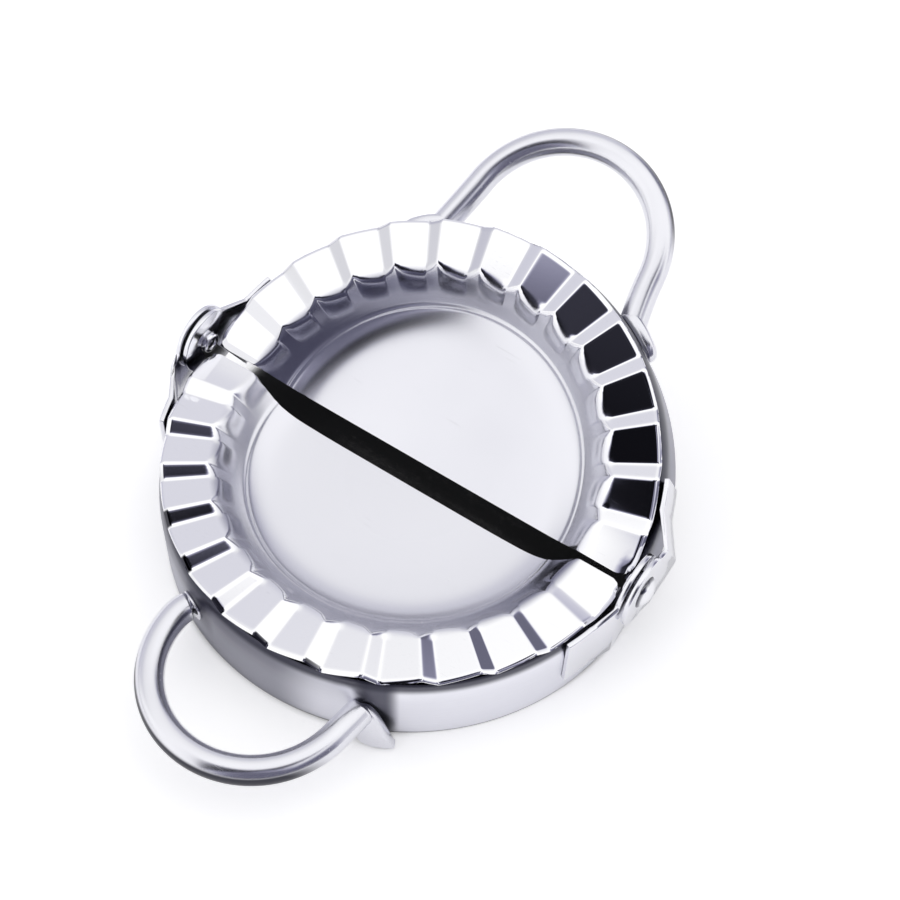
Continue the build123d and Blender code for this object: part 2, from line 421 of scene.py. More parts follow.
def mould_rows():
    """Radii of the net's rows, closer together at each bend."""
    floor_edge = rim_radius - rim_width - wall_run - 2 * shoulder_run
    roll = rim_radius - rim_roll
    runs = [
        (5, floor_edge - 1.5, 7),  # the bowl's floor: from, to, how many rows
        (floor_edge - 0.8, 30.4, 9),  # its shoulder
        (30.7, 32.5, 9),  # the ring pressed round it
        (33.0, 35.0, 4),  # the wall
        (35.3, 40.1, 20),  # the scalloped lips
        (40.8, roll - 0.3, 5),  # the pleats
        (roll, rim_radius, 6),  # the border
    ]
    return [0.0, 0.6, 2.5, *(radius for run in runs for radius in steps(*run))]


def dish_tree():
    """The rule of the pressed half dish: angle and radius in, place and height out."""
    sizes = [
        "Rim Radius", "Rim Width", "Rim Roll", "Setback", "Setback Fade", "Corner Across",
        "Corner Along", "Valley", "Rise", "Wall Run", "Wall Drop", "Shoulder Run",
        "Shoulder Drop", "Floor Drop", "Foot Round", "Shoulder Round", "Scallop", "Bead Radius",
        "Bead Height", "Bead Width",
    ]
    tree = geometry_tree("pleated_dish", sizes)
    made = Tree(tree)
    entry = made.add("NodeGroupInput")
    size = {name: entry.out(name) for name in sizes}
    spot = made.add("ShaderNodeSeparateXYZ", None, made.add("GeometryNodeInputPosition"))
    angle = spot * (pi / HALF_TURN)
    radius = spot.out("Y")
    sharp = made.add("GeometryNodeInputNamedAttribute", {"data_type": "FLOAT"}, "rise")
    soft = made.add("GeometryNodeInputNamedAttribute", {"data_type": "FLOAT"}, "soft_rise")
    outside = radius - size["Rim Radius"] + size["Rim Width"]
    rise = soft + (sharp - soft) * outside.step(*crease_change)

    wall_top = size["Rim Radius"] - size["Rim Width"]
    wall_foot = wall_top - size["Wall Run"]
    wall_low = size["Valley"] - size["Wall Drop"]
    shoulder_foot = wall_foot - size["Shoulder Run"]
    shoulder_low = wall_low - size["Shoulder Drop"]
    floor_edge = shoulder_foot - size["Shoulder Run"]
    floor_low = shoulder_low - size["Floor Drop"]
    nose = made.add("GeometryNodeInputNamedAttribute", {"data_type": "FLOAT"}, "nose")
    bulge = nose * size["Scallop"] * radius.step(scallop_start, scallop_whole)
    wall = wall_low + (radius - wall_foot + bulge) * size["Wall Drop"] / size["Wall Run"]
    shoulder = (radius - shoulder_foot) * size["Shoulder Drop"] / size["Shoulder Run"]
    shoulder = shoulder_low + shoulder
    run_out = floor_low + (radius - floor_edge) * size["Floor Drop"] / size["Shoulder Run"]
    floor = floor_low + radius * 0.0
    bowl = floor.larger(run_out, size["Shoulder Round"])
    bowl = bowl.larger(shoulder, size["Shoulder Round"])
    bowl = bowl.larger(wall, size["Foot Round"])
    off_bead = (radius - size["Bead Radius"]) / size["Bead Width"]
    bowl = bowl + size["Bead Height"] / (off_bead * off_bead + 1.0) ** 2.0
    steeper = radius / (size["Rim Radius"] - size["Rim Width"] * 0.5)
    rim = size["Valley"] + rise * size["Rise"] * steeper
    height = rim.smaller(bowl, nose)
    turned = (radius - (size["Rim Radius"] - size["Rim Roll"])).larger(0.0) / size["Rim Roll"]
    height = height - turned * turned * size["Rim Roll"] * 0.5

    across = made.add("ShaderNodeMath", {"operation": "COSINE"}, angle)
    out = made.add("ShaderNodeMath", {"operation": "SINE"}, angle)
    y = radius * out
    fade = (1.0 - y / size["Setback Fade"]).larger(0.0)
    from_cut = y + size["Setback"] * fade - size["Setback"]
    from_rim = size["Rim Radius"] - radius
    u = (1.0 - from_cut / size["Corner Along"]).larger(0.0)
    v = (1.0 - from_rim / size["Corner Across"]).larger(0.0)
    tiny, abrupt = 0.000001, 1000.0
    reach = (u * u + v * v + tiny) ** 0.5
    pull = u.larger(v) / reach
    inside = u.smaller(v) * abrupt
    pull = 1.0 - (1.0 - pull) * inside.smaller(1.0)
    moved_cut = from_cut + (u - u * pull) * size["Corner Along"]
    moved_rim = from_rim + (v - v * pull) * size["Corner Across"]
    x = (size["Rim Radius"] - moved_rim) * across
    place = made.add("ShaderNodeCombineXYZ", None, x, moved_cut + size["Setback"], height)
    moved = made.add("GeometryNodeSetPosition", None, drawn(made, entry), Position=place)
    whole = made.add("GeometryNodeMergeByDistance", None, moved, Distance=join_within)
    close_tree(made, whole, entry)
    return tree


def dish_sizes():
    """The sizes that the dish's tree takes."""
    return {
        "Rim Radius": rim_radius, "Rim Width": rim_width, "Rim Roll": rim_roll,
        "Setback": cut_setback, "Setback Fade": setback_fade,
        "Corner Across": rim_corner_across, "Corner Along": rim_corner_along,
        "Valley": valley, "Rise": pleat_rise, "Wall Run": wall_run, "Wall Drop": wall_drop,
        "Shoulder Run": shoulder_run, "Shoulder Drop": shoulder_drop, "Floor Drop": floor_drop,
        "Foot Round": wall_foot_round, "Shoulder Round": shoulder_round,
        "Scallop": scallop, "Bead Radius": bead_radius, "Bead Height": bead_height,
        "Bead Width": bead_width,
    }


def make_mould(half, material):
    """One pressed half dish, with its sheet's thickness and rounded edges."""
    columns = mould_columns()
    marks = {
        "rise": [rise_at(angle, crease_round) for angle in columns],
        "soft_rise": [rise_at(angle, crease_round_inside) for angle in columns],
        "nose": [nose_at(angle) for angle in columns],
    }
    base = net(columns, mould_rows(), marks)
    edges = {"limit_method": "ANGLE", "angle_limit": radians(sheet_edge_angle)}
    finish = [
        ("SOLIDIFY", {"thickness": sheet, "offset": -1.0, "use_even_offset": True}),
        ("BEVEL", {"width": sheet_edge, "segments": 3, **edges}),
    ]
    mesh = shaped("mould", base, dish, dish_sizes(), material, finish)
    return placed(half + "_pleated_mould", mesh, half, half + "_half", half + "_mould")


# ---------------------------------------------------------------- cutting band
def band_side(level):
    """The radius of the band's outer face at a level: straight, then leaning in under the rim."""
    share = max((level - band_knee) / (band_top - band_knee), 0.0)
    return band_outer - band_tuck * share * share


def band_profile():
    """The band's cross-section: a thin strip that leans in at its top, with rounded edges."""
    edge = band_edge
    band_inner = band_outer - sheet
    straight_in, straight_out = 1.2, 1.4  # each side is straight from this far above the foot
    levels = steps(band_knee, band_top, 8)
    outer = [(band_side(level), level) for level in levels]
    inner = [(band_side(level) - sheet, level) for level in reversed(levels)]
    top = [(outer[-1][0] - edge, band_top + edge), (inner[0][0] + edge, band_top + edge)]
    return [
        (band_inner, band_bottom + straight_in), (band_inner + edge * 0.4, band_bottom + edge),
        (band_inner + edge, band_bottom), (band_outer - edge, band_bottom),
        (band_outer, band_bottom + edge), (band_outer, band_bottom + straight_out),
        *outer, *top, *inner,
    ]


def strip_tree():
    """Turns a cross-section round the half's middle: angle and outline number in, place out."""
    tree = geometry_tree("turned_strip", ["Setback"])
    made = Tree(tree)
    entry = made.add("NodeGroupInput")
    spot = made.add("ShaderNodeSeparateXYZ", None, made.add("GeometryNodeInputPosition"))
    angle = spot * (pi / HALF_TURN)
    radius = spot.out("Y")
    x = radius * made.add("ShaderNodeMath", {"operation": "COSINE"}, angle)
    y = radius * made.add("ShaderNodeMath", {"operation": "SINE"}, angle)
    place = made.add("ShaderNodeCombineXYZ", None, x, y.larger(entry.out("Setback")), spot.out("Z"))
    moved = made.add("GeometryNodeSetPosition", None, drawn(made, entry), Position=place)
    close_tree(made, moved, entry)
    return tree


def closed_strip(columns, outlines):
    """A tube of faces round a closed outline, one for each column, capped at both ends."""
    around = len(outlines[0])
    points = [(column, *spot) for column, outline in zip(columns, outlines) for spot in outline]
    faces = []
    last = (len(columns) - 1) * around
    for near in range(0, last, around):
        far = near + around
        for j in range(around):
            k = (j + 1) % around
            faces.append((near + j, near + k, far + k, far + j))
    faces.append(tuple(reversed(range(around))))
    faces.append(tuple(last + j for j in range(around)))
    mesh = bpy.data.meshes.new("strip")
    mesh.from_pydata(points, [], faces)
    return mesh


def make_band(half, material):
    """One cutting band."""
    end_gap = 0.9  # the columns lie closer together at the ends
    columns = [0.0, end_gap, *steps(2, 178, 116), HALF_TURN - end_gap, HALF_TURN]
    base = closed_strip(columns, [band_profile()] * len(columns))
    mesh = shaped("band", base, strip, {"Setback": cut_setback}, material)
    outward(mesh)
    return placed(half + "_cutting_band", mesh, half, half + "_half", half + "_band")


def outward(mesh):
    """Turns every face of a closed mesh outwards, and keeps sharp edges sharp."""
    shape = bmesh.new()
    shape.from_mesh(mesh)
    bmesh.ops.remove_doubles(shape, verts=shape.verts, dist=join_within_fine)
    bmesh.ops.recalc_face_normals(shape, faces=shape.faces)
    shape.to_mesh(mesh)
    shape.free()
    mesh.shade_smooth()
    mesh.set_sharp_from_angle(angle=radians(sharp_angle))


# ---------------------------------------------------------------- handle
def band_spot(angle, radius):
    """The place beside the band at an angle round the half."""
    return Vector((radius * cos(radians(angle)), radius * sin(radians(angle))))


def rod_end(half, end):
    """Points from the band to the loop, with the taper of the rod's rounded end."""
    seat = band_outer + seat_gap
    tip = band_spot(end["angle"], seat)
    side = 1 if end["angle"] < HALF_TURN / 2 else -1
    leave = radians(end["leave"])
    size = loop_radius[half]
    middle = handle_reach[half] - size
    start = Vector((side * size * cos(leave), middle + size * sin(leave)))
    corner = start + Vector((side * sin(leave), -cos(leave))) * end["corner"]
    points, tapers = [], []
    count, crowding = 32, 1.7  # the points lie closer together near the band
    for i in range(count + 1):
        t = (i / count) ** crowding
        spot = tip * (1 - t) ** 2 + corner * 2 * t * (1 - t) + start * t * t
        gone = min((spot - tip).length / rod_dome, 1.0)
        points.append((spot.x, spot.y, handle_level))
        tapers.append(max((1 - (1 - gone) ** 2) ** 0.5, rod_least))
    return points, tapers


def handle_path(half):
    """The rod's middle line from one end to the other, with the taper of its ends."""
    first, second = rod_ends[half]
    size = loop_radius[half]
    middle = handle_reach[half] - size
    points, tapers = rod_end(half, first)
    last, last_tapers = rod_end(half, second)
    arc = steps(first["leave"], HALF_TURN - second["leave"], 70)
    points += [
        (size * cos(radians(turn)), middle + size * sin(radians(turn)), handle_level)
        for turn in arc[1:-1]
    ]
    tapers += [1.0] * len(arc[1:-1])
    return points + last[::-1], tapers + last_tapers[::-1]


def rod_tree():
    """A round rod along a line, drawn in where the line is marked with a taper.

    "around" keeps each point's offset from the middle line, for the material.
    """
    tree = geometry_tree("bent_rod", ["Rod Radius"])
    made = Tree(tree)
    entry = made.add("NodeGroupInput")
    here = made.add("GeometryNodeInputPosition")
    kept = made.add(
        "GeometryNodeStoreNamedAttribute", {"data_type": "FLOAT_VECTOR", "domain": "POINT"},
        entry.out("Geometry"), Name="middle", Value=here,
    )
    curve = made.add("GeometryNodeMeshToCurve", None, kept)
    radius = entry.out("Rod Radius")
    ring = made.add("GeometryNodeCurvePrimitiveCircle", None, round_sides, Radius=radius)
    tube = made.add("GeometryNodeCurveToMesh", None, curve, ring, Fill_Caps=True)
    middle = made.add("GeometryNodeInputNamedAttribute", {"data_type": "FLOAT_VECTOR"}, "middle")
    taper = made.add("GeometryNodeInputNamedAttribute", {"data_type": "FLOAT"}, "taper")
    spot = made.add("ShaderNodeVectorMath", {"operation": "SUBTRACT"}, here, middle)
    shift = made.add("ShaderNodeVectorMath", {"operation": "SCALE"}, spot, Scale=taper - 1.0)
    faced = made.add(
        "GeometryNodeStoreNamedAttribute", {"data_type": "FLOAT_VECTOR", "domain": "POINT"},
        tube, Name="around", Value=spot,
    )
    moved = made.add("GeometryNodeSetPosition", None, faced, Offset=shift)
    close_tree(made, moved, entry)
    return tree


def through(stations, count):
    """A smooth run of stations through the ones given."""
    ends = [stations[0], *stations, stations[-1]]
    run = []
    for i in range(1, len(ends) - 2):
        for j in range(count):
            t = j / count
            weights = (  # of the two stations before and the two after
                (-t + 2 * t * t - t**3) / 2, (2 - 5 * t * t + 3 * t**3) / 2,
                (t + 4 * t * t - 3 * t**3) / 2, (t**3 - t * t) / 2,
            )
            near = ends[i - 1:i + 3]
            run.append(tuple(sum(w * s[k] for w, s in zip(weights, near)) for k in range(4)))
    return [*run, stations[-1]]


def tongue(end):
    """The flattened end of the rod, as columns round the half and an outline for each."""
    seat = band_outer + seat_gap
    side = 1 if end["angle"] < HALF_TURN / 2 else -1
    degrees = HALF_TURN / pi / (seat + foot_thickness / 2)
    columns, outlines = [], []
    for run, low, high, thick in through(end["tongue"], 5):
        soft = min(tongue_edge, (high - low) * 0.32, thick * 0.45)  # less where it is small
        nick = soft * 0.3
        back = seat + tongue_back_edge
        face = seat + thick
        outline = [
            (seat, low + nick), (back, low), (face - soft, low), (face - nick, low + nick),
            (face, low + soft), (face, high - soft), (face - nick, high - nick),
            (face - soft, high), (back, high), (seat, high - nick),
        ]
        columns.append(end["angle"] - side * run * degrees)
        outlines.append([
            (radius + end["lean"] * max(lean_from - level, 0.0), level + handle_level)
            for radius, level in outline
        ])
    return columns, outlines


def make_handle(half, material):
    """One looped handle: a bent rod, and the flattened tongue at each of its ends."""
    points, tapers = handle_path(half)
    line = line_of(points, {"taper": tapers})
    mesh = shaped("handle", line, rod, {"Rod Radius": rod_radius}, material)
    whole = bmesh.new()
    whole.from_mesh(mesh)
    for end in rod_ends[half]:
        base = closed_strip(*tongue(end))
        whole.from_mesh(shaped("tongue", base, strip, {"Setback": cut_setback}, material))
    whole.to_mesh(mesh)
    whole.free()
    outward(mesh)
    mesh.set_sharp_from_angle(angle=radians(rod_sharp_angle))
    return placed(half + "_loop_handle", mesh, half, half + "_half", half + "_handle")


# ---------------------------------------------------------------- hinge pieces
def make_leaf(node, body, material):
    """A hinge leaf: the stamped plate of the frame, with its pad raised and its edges broken."""
    shape = bmesh.new()
    shape.from_mesh(frame["nodes"][node].data)
    bmesh.ops.remove_doubles(shape, verts=shape.verts, dist=plate_join_within)
    bmesh.ops.dissolve_limit(
        shape, angle_limit=radians(flat_within), verts=shape.verts, edges=shape.edges
    )
    half = halves[node.split("_")[0]]
    lift = pad_lift[node.removesuffix("_leaf")]
    for vert in shape.verts:
        spot = half.inverted() @ vert.co
        if spot.z > pad_top and spot.y > pad_start:
            vert.co = half @ (spot + Vector((0, 0, lift)))
    sharp = [
        edge for edge in shape.edges
        if edge.is_manifold and edge.calc_face_angle() > radians(sharp_angle)
    ]
    bmesh.ops.bevel(
        shape, geom=sharp, offset=plate_edge * MM, segments=3, profile=0.5, affect="EDGES",
        clamp_overlap=True,
    )
    mesh = bpy.data.meshes.new(node)
    shape.to_mesh(mesh)
    shape.free()
    mesh.materials.append(material)
    mesh.shade_smooth()
    mesh.set_sharp_from_angle(angle=radians(plate_sharp_angle))
    piece = bpy.data.objects.new(node.replace("leaf", "hinge_plate"), mesh)
    bpy.context.scene.collection.objects.link(piece)
    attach(piece, body)
    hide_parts(node)
    return piece


def lathe_tree():
    """Turns an outline about the x axis: distance along it, radius and turn in, place out."""
    tree = geometry_tree("turned_about_axis", ["Side"])
    made = Tree(tree)
    entry = made.add("NodeGroupInput")
    spot = made.add("ShaderNodeSeparateXYZ", None, made.add("GeometryNodeInputPosition"))
    angle = spot.out("Z") * (pi / HALF_TURN)
    radius = spot.out("Y")
    y = radius * made.add("ShaderNodeMath", {"operation": "COSINE"}, angle)
    z = radius * made.add("ShaderNodeMath", {"operation": "SINE"}, angle)
    place = made.add("ShaderNodeCombineXYZ", None, spot * entry.out("Side"), y, z)
    moved = made.add("GeometryNodeSetPosition", None, drawn(made, entry), Position=place)
    whole = made.add("GeometryNodeMergeByDistance", None, moved, Distance=join_within_fine)
    close_tree(made, whole, entry)
    return tree


def turned(outline, count, closed):
    """A base for the lathe: each outline point once for every turn."""
    angles = [360 * i / count for i in range(count)]
    points = [(x, r, angle) for angle in angles for x, r in outline]
    around = len(outline)
    last = around if closed else around - 1
    faces = []
    for i in range(count):
        for j in range(last):
            k = (j + 1) % around
            a, b = i * around, ((i + 1) % count) * around
            faces.append((a + j, a + k, b + k, b + j))
    mesh = bpy.data.meshes.new("turned")
    mesh.from_pydata(points, [], faces)
    return mesh


def rivet_outline():
    """From the foot of the hollow end, over its rolled collar and up the shank to the crown."""
    head = outer_eye + leaf_thickness + seat_gap
    dome = (rivet_head_radius**2 + rivet_head_height**2) / (2 * rivet_head_height)
    widest = asin(rivet_head_radius / dome)
    lip = (rolled_radius - rivet_bore) / 2
    lip_middle = (rolled_radius + rivet_bore) / 2
    roll = [
        (rivet_tip + lip - lip * sin(radians(a)), lip_middle - lip * cos(radians(a)))
        for a in range(0, HALF_TURN + 1, 20)
    ]
    crown = [
        (head + rivet_head_height - dome * (1 - cos(a)), dome * sin(a))
        for a in [widest * (1 - i / 8) for i in range(9)]
    ]
    crown[-1] = (crown[-1][0], 0.0)
    hollow = rivet_tip + rivet_bore_depth
    return [
        (hollow, 0.0), (hollow, rivet_bore), *roll, (rivet_collar - collar_edge, rolled_radius),
        (rivet_collar, rolled_radius - collar_edge), (rivet_collar, rivet_radius),
        (head, rivet_radius), (head, rivet_head_radius - rivet_head_edge), *crown,
    ]


def make_rivet(name, side, node, material):
    """One tubular rivet, domed outside and rolled over inside."""
    base = turned(rivet_outline(), round_sides, False)
    mesh = shaped("rivet", base, lathe, {"Side": side}, material)
    outward(mesh)
    return placed(name, mesh, "front", "front_half", node)


def make_washer(name, side, node, material):
    """One flat washer between the two plates of a hinge."""
    near, far, hole = washer_near, washer_far, washer_hole
    side_edge = washer_radius - washer_edge
    outline = [
        (near, hole), (near, side_edge), (near + washer_edge, washer_radius),
        (far - washer_edge, washer_radius), (far, side_edge), (far, hole),
    ]
    base = turned(outline, round_sides, True)
    mesh = shaped("washer", base, lathe, {"Side": side}, material)
    outward(mesh)
    return placed(name, mesh, "front", "front_half", node)


# ---------------------------------------------------------------- materials
# Colours, as red, green, blue and opacity
polished, satin = (0.94, 0.94, 0.965, 1.0), (0.79, 0.79, 0.84, 1.0)
wall_painted_shade = (0.26, 0.26, 0.34, 1.0)
fold_painted_shade = (0.50, 0.50, 0.55, 1.0)
scratched = (0.66, 0.66, 0.70, 1.0)
band_painted_dark, band_bright = (0.15, 0.15, 0.22, 1.0), (0.90, 0.90, 0.955, 1.0)
band_shaded = (0.04, 0.04, 0.085, 1.0)
brush_mark = (0.55, 0.55, 0.62, 1.0)
under_rim_shadow = (0.03, 0.03, 0.045, 1.0)
weld_painted_shadow = (0.07, 0.07, 0.10, 1.0)
painted_edge_shade = (0.05, 0.05, 0.07, 1.0)
painted_black_shade = (0.02, 0.02, 0.03, 1.0)
rod_dull, rod_bright = (0.74, 0.74, 0.79, 1.0), (0.86, 0.86, 0.90, 1.0)
plate_dull, plate_bright = (0.80, 0.80, 0.85, 1.0), (0.90, 0.90, 0.93, 1.0)
rivet_dull, rivet_bright = (0.82, 0.82, 0.86, 1.0), (0.93, 0.93, 0.95, 1.0)
halves_meet = (-0.001, 0.001)  # where the front half's side turns into the back half's (metres)


def new_finish(name):
    """An empty material, its tree and the place on the piece."""
    material = bpy.data.materials.new(name)
    material.use_nodes = True
    material.node_tree.nodes.clear()
    made = Tree(material.node_tree)
    return material, made, made.add("ShaderNodeTexCoord", output="Object")


def parts_of(made, vector):
    """The three parts of a vector, of which x stands for the first."""
    return made.add("ShaderNodeSeparateXYZ", None, vector)


def attribute(made, name):
    """An attribute of the piece."""
    return made.add("ShaderNodeAttribute", {"attribute_name": name}, output="Vector")


def between(place, rise, fall):
    """1 between two soft edges and 0 beyond them."""
    return place.step(*rise) * (1.0 - place.step(*fall))


def noise(made, place, scale, detail=2.0):
    """Soft noise about a half."""
    return made.add("ShaderNodeTexNoise", None, place, Scale=scale, Detail=detail)


def scratches(made, place, turn, length, width):
    """Thin straight scratches, as a mask."""
    laid = made.add("ShaderNodeMapping", None, place, Rotation=turn, Scale=(length, width, width))
    return made.add("ShaderNodeTexNoise", None, laid, Scale=1.0, Detail=1.0).step(0.70, 0.78)


def finish_steel(material, made, colour, roughness, height):
    """Bare steel, with its height of relief in millimetres."""
    relief = made.add("ShaderNodeBump", None, 1.0, MM, Height=height)
    shader = made.add("ShaderNodeBsdfPrincipled", None, colour, 1.0, roughness, Normal=relief)
    made.add("ShaderNodeOutputMaterial", None, shader)
    return material


def make_pressed_steel():
    """Polished sheet: bright on the pleats, satin in the bowl where the punch drew it."""
    material, made, place = new_finish("pressed_steel")
    along = parts_of(made, attribute(made, "drawn"))
    radius = along.out("Y")
    bowl = 1.0 - radius.step(36.4, 38.6)
    back = parts_of(made, place).out("Y").step(*halves_meet)
    front = 1.0 - back
    cloud = noise(made, place, 42.0)
    grain = noise(made, place, 2400.0, 3.0)
    worn = scratches(made, place, (0.0, 0.0, 0.7), 150.0, 2600.0)
    worn = worn.larger(scratches(made, place, (0.2, 0.1, -0.5), 210.0, 3100.0))

    # Painted shade: the bowl's wall is darker towards its ends.
    far_end = along.step(125.0, 168.0) * front + along.step(72.0, 135.0) * back
    near_end = between(along, (18.0, 38.0), (55.0, 84.0)) * radius.step(32.0, 35.0) * front
    wall = bowl * radius.step(31.4, 32.8) * far_end.larger(near_end * 0.75)
    wall = wall * (0.75 + cloud * 0.1 + radius.step(33.5, 36.0) * 0.12)

    # Painted shade on the steep folds of the back half's left, and painted black shade in the front
    # edge's notches.
    turns = made.add("ShaderNodeMath", {"operation": "FRACT"}, along * (pleats / HALF_TURN) + 0.5)
    off_fold = made.add("ShaderNodeMath", {"operation": "ABSOLUTE"}, turns - 0.5)
    off_fold = off_fold * (HALF_TURN / pleats)
    fold_shade_mask = (1.0 - off_fold.step(1.5, 2.1)) * (1.0 - bowl) * back * along.step(84.0, 112.0)
    notch_shade_mask = (1.0 - off_fold.step(1.4, 2.0)) * radius.step(46.5, 46.8) * front
    notch_shade_mask = notch_shade_mask * between(along, (35.0, 50.0), (100.0, 112.0))

    colour = made.mixed(bowl, polished, satin)
    colour = made.mixed(wall, colour, wall_painted_shade)
    colour = made.mixed(fold_shade_mask * 0.42, colour, fold_painted_shade)
    colour = made.mixed(notch_shade_mask * 0.95, colour, painted_black_shade)
    colour = made.mixed(worn * 0.12, colour, scratched)
    roughness = 0.03 + cloud * 0.03 + worn * 0.03 + bowl * (0.13 + cloud * 0.10)
    height = cloud * 0.012 + grain * (0.0004 + bowl * 0.0005) - worn * 0.0004
    return finish_steel(material, made, colour, roughness, height)


def make_band_steel():
    """Satin strip, brushed along its length, with painted shadow where the rods are welded on."""
    material, made, place = new_finish("band_steel")
    along = parts_of(made, attribute(made, "drawn"))
    level = along.out("Z")
    back = parts_of(made, place).out("Y").step(*halves_meet)
    lines = made.add("ShaderNodeCombineXYZ", None, along * 0.16, level * 8.0, along.out("Y") * 8.0)
    brushed = made.add("ShaderNodeTexNoise", None, lines, Scale=1.0, Detail=4.0, Roughness=0.7)
    cloud = noise(made, place, 60.0)

    # Painted shadow round where each rod is welded on, about the angle of each.
    right = 1.0 - ((along - 117.0) ** 2).step(3.0, 30.0)
    left = 1.0 - ((along - 70.5) ** 2).step(3.0, 34.0)
    weld_shadow_mask = right.larger(left * 0.75 * level.step(-16.0, -9.0))

    # Painted shade: the strip is darker at its near end, between the welds, up under the rim and
    # along its bottom edge.
    plain = made.mixed(along.step(20.0, 126.0), band_painted_dark, band_bright)
    shaded = between(along, (58.0, 68.0), (93.0, 106.0))
    plain = made.mixed(shaded * 0.64, plain, band_shaded)
    under = level.step(-11.0, -4.0) * (0.35 + cloud * 0.3 + back * 0.4)
    under = under * (1.0 - along.step(60.0, 125.0))
    hem_shade_mask = 1.0 - level.step(-18.5, -18.1)

    colour = made.mixed(brushed * 0.22, plain, brush_mark)
    colour = made.mixed(under, colour, under_rim_shadow)
    colour = made.mixed(weld_shadow_mask * 0.93, colour, weld_painted_shadow)
    # Painted shadow in a thin line just under the rim, and painted shade along the bottom edge.
    colour = made.mixed(level.step(-4.4, -2.9) * 0.9, colour, painted_edge_shade)
    colour = made.mixed(hem_shade_mask * 0.9, colour, painted_edge_shade)
    roughness = 0.2 + brushed * 0.14 + cloud * 0.06 + weld_shadow_mask * 0.08
    height = brushed * 0.002 + cloud * 0.01
    return finish_steel(material, made, colour, roughness, height)


def make_rod_steel():
    """Drawn rod, polished by hand, with painted shade on its underside away from the band."""
    material, made, place = new_finish("rod_steel")
    cloud = noise(made, place, 75.0)
    grain = noise(made, place, 1800.0, 3.0)
    worn = scratches(made, place, (0.0, 0.3, 0.9), 120.0, 2400.0)
    facing = parts_of(made, attribute(made, "around"))
    # Painted shade on the rod's underside, away from the band.
    low = (facing.out("Z") / rod_radius).step(0.66, 0.42)
    below = low * (facing.out("Y") / rod_radius).step(0.25, 0.6)
    colour = made.mixed(cloud, rod_dull, rod_bright)
    colour = made.mixed(below * 0.95, colour, painted_black_shade)
    roughness = 0.16 + cloud * 0.09 + grain * 0.03 + worn * 0.06
    height = cloud * 0.015 + grain * 0.001 - worn * 0.0006
    return finish_steel(material, made, colour, roughness, height)


def make_plate_steel():
    """Stamped plate, tumbled, with a faint grain."""
    material, made, place = new_finish("plate_steel")
    laid = made.add("ShaderNodeMapping", None, place, Scale=(900.0, 160.0, 900.0))
    grain = made.add("ShaderNodeTexNoise", None, laid, Scale=1.0, Detail=3.0)
    cloud = noise(made, place, 140.0)
    worn = scratches(made, place, (0.5, 0.0, 0.3), 160.0, 2000.0)
    colour = made.mixed(cloud, plate_dull, plate_bright)
    roughness = 0.10 + grain * 0.08 + cloud * 0.05 + worn * 0.08
    height = grain * 0.0015 + cloud * 0.012 - worn * 0.001
    return finish_steel(material, made, colour, roughness, height)


def make_rivet_steel():
    """Bright rivet steel, with painted shade round the head's edge, and marked a little by the
    setting tool.
    """
    material, made, place = new_finish("rivet_steel")
    cloud = noise(made, place, 320.0)
    grain = noise(made, place, 2600.0, 2.0)
    # Painted shade round the head's edge.
    head_edge_shade = parts_of(made, attribute(made, "drawn")).out("Y").step(2.55, 3.1)
    colour = made.mixed(cloud, rivet_dull, rivet_bright)
    colour = made.mixed(head_edge_shade * 0.85, colour, painted_edge_shade)
    roughness = 0.06 + cloud * 0.07 + grain * 0.02
    height = cloud * 0.02 + grain * 0.001
    return finish_steel(material, made, colour, roughness, height)


pressed_steel = make_pressed_steel()
band_steel = make_band_steel()
rod_steel = make_rod_steel()
plate_steel = make_plate_steel()
rivet_steel = make_rivet_steel()

# ---------------------------------------------------------------- the pieces
dish = dish_tree()
strip = strip_tree()
rod = rod_tree()
lathe = lathe_tree()

for half in halves:
    make_mould(half, pressed_steel)
    make_band(half, band_steel)
    make_handle(half, rod_steel)
    for side in ("left", "right"):
        make_leaf(f"{half}_{side}_leaf", half + "_half", plate_steel)
for side, sign in (("left", 1), ("right", -1)):
    make_rivet(side + "_hinge_rivet", sign, side + "_rivet", rivet_steel)
    make_washer(side + "_hinge_washer", sign, side + "_washer", rivet_steel)


# ---------------------------------------------------------------- studio
white = (1.0, 1.0, 1.0, 1.0)
cool_white = (0.86, 0.85, 1.2, 1.0)  # the colour of the studio's darkest parts
paper_white, paper_painted_shade = (0.9, 0.9, 0.9, 1.0), (0.01, 0.01, 0.01, 1.0)
floor_width = 8.0  # metres
floor_glow = 0.3  # the paper's own light, as the steel sees it
sight_glow = 0.12  # and as the camera does
covered_within = 0.09  # metres
white_light = 1.14
pale_light = 0.92
dim_light = 0.17
dark_light = 0.006


